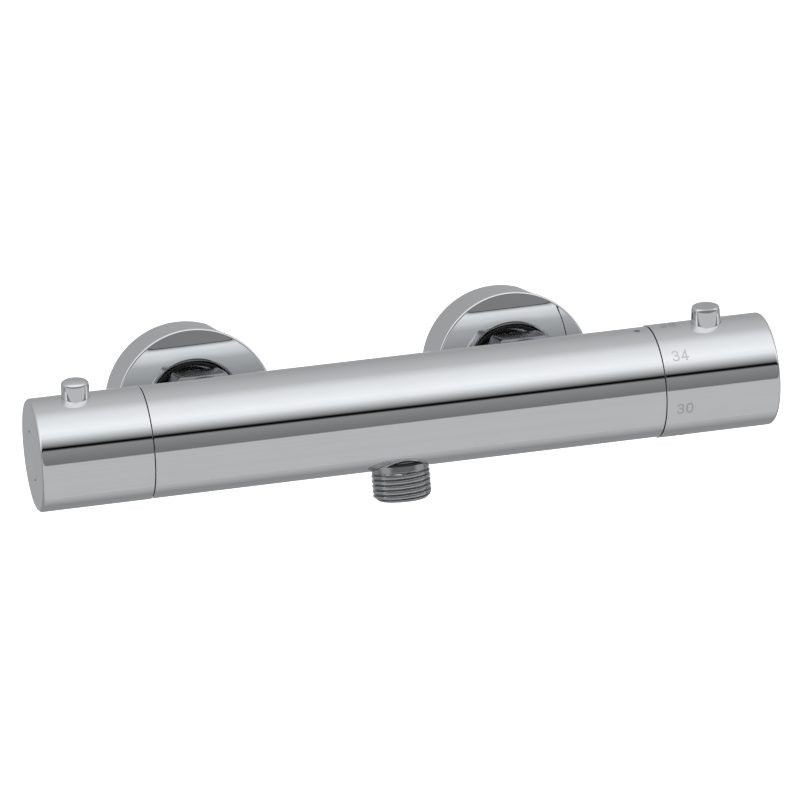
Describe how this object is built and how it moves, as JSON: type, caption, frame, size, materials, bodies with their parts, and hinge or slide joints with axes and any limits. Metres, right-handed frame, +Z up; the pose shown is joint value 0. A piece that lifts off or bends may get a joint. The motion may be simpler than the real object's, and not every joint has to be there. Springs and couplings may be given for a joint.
{
  "type": "thermostatic shower valve",
  "caption": "Chromed round-bar thermostatic shower mixer on two wall rosettes, with a flow handle, a temperature handle with safety buttons, and a threaded hose outlet below.",
  "frame": {"origin": "on the wall plane, midway between the two inlets, at the height of the bar axis", "axes": "+X to the user's right along the bar, +Y into the wall, +Z up; the user faces +Y"},
  "size_m": [0.2684, 0.1204, 0.0608],
  "materials": {
    "chrome": "polished chrome plate on brass",
    "brass": "turned brass, hidden",
    "rubber": "black EPDM",
    "spring_steel": "stainless spring steel",
    "ceramic": null,
    "plastic": "glass-filled plastic"
  },
  "bodies": {
    "fixed_group": {"flow_cartridge": "brass", "flow_fixed_disc": "ceramic", "flow_nose_seal": "rubber", "flow_stop_ring": "plastic", "left_check_cage": "plastic", "left_check_spring": "spring_steel", "left_inlet_tail": "brass", "left_inlet_washer": "rubber", "left_rosette": "chrome", "left_s_union": "brass", "left_strainer": "spring_steel", "left_union_nut": "chrome", "outlet_nipple": "chrome", "outlet_seal": "rubber", "right_check_cage": "plastic", "right_check_spring": "spring_steel", "right_inlet_tail": "brass", "right_inlet_washer": "rubber", "right_rosette": "chrome", "right_s_union": "brass", "right_strainer": "spring_steel", "right_union_nut": "chrome", "temp_stop_ring": "plastic", "thermo_cartridge": "plastic", "thermo_nose_seal": "rubber", "thermo_overload_spring": "spring_steel", "thermo_retaining_nut": "brass", "thermo_return_spring": "spring_steel", "thermo_zone_seal": "rubber", "valve_body": "chrome"},
    "flow_handle_group": {"flow_handle": "chrome", "flow_handle_cap": "chrome", "flow_handle_screw": "spring_steel", "flow_handle_insert": "plastic", "flow_spindle": "brass", "flow_moving_disc": "ceramic", "flow_button_spring": "spring_steel"},
    "flow_button_group": {"flow_button": "chrome"},
    "temp_handle_group": {"temp_handle": "chrome", "temp_handle_cap": "chrome", "temp_handle_screw": "spring_steel", "temp_handle_insert": "plastic", "thermo_spindle": "brass", "temp_button_spring": "spring_steel"},
    "temp_button_group": {"temp_button": "chrome"},
    "thermostat_group": {"thermo_shuttle": "plastic", "thermo_wax_element": "brass", "thermo_push_cup": "plastic"},
    "left_check_group": {"left_check_poppet": "plastic"},
    "right_check_group": {"right_check_poppet": "plastic"}
  },
  "joints": [
    {"name": "flow_handle_turn", "type": "hinge", "parent": "fixed_group", "child": "flow_handle_group", "pos_m": [-0.091, -0.085, 0], "axis": [1, 0, 0], "range_deg": [0, 90]},
    {"name": "flow_button_press", "type": "slide", "parent": "flow_handle_group", "child": "flow_button_group", "axis": [0, 0.1908, -0.9816], "range_m": [0, 0.0025], "stiffness_N_per_m": 600, "springref_m": -0.002, "deforming": ["flow_button_spring"]},
    {"name": "temp_handle_turn", "type": "hinge", "parent": "fixed_group", "child": "temp_handle_group", "pos_m": [0.0945, -0.085, 0], "axis": [1, 0, 0], "range_deg": [-160, 80]},
    {"name": "temp_button_press", "type": "slide", "parent": "temp_handle_group", "child": "temp_button_group", "axis": [0, 0.1908, -0.9816], "range_m": [0, 0.0025], "stiffness_N_per_m": 600, "springref_m": -0.002, "deforming": ["temp_button_spring"]},
    {"name": "thermostat_slide", "type": "slide", "parent": "fixed_group", "child": "thermostat_group", "axis": [1, 0, 0], "range_m": [-0.0007, 0.0004], "deforming": ["thermo_return_spring", "thermo_overload_spring"]},
    {"name": "left_check_slide", "type": "slide", "parent": "fixed_group", "child": "left_check_group", "axis": [0, -1, 0], "range_m": [0, 0.003], "stiffness_N_per_m": 60, "springref_m": -0.004, "deforming": ["left_check_spring"]},
    {"name": "right_check_slide", "type": "slide", "parent": "fixed_group", "child": "right_check_group", "axis": [0, -1, 0], "range_m": [0, 0.003], "stiffness_N_per_m": 60, "springref_m": -0.004, "deforming": ["right_check_spring"]}
  ],
  "couplings": [
    {"joint": "thermostat_slide", "follows": "temp_handle_turn", "m_per_rad": 0.00023873}
  ]
}
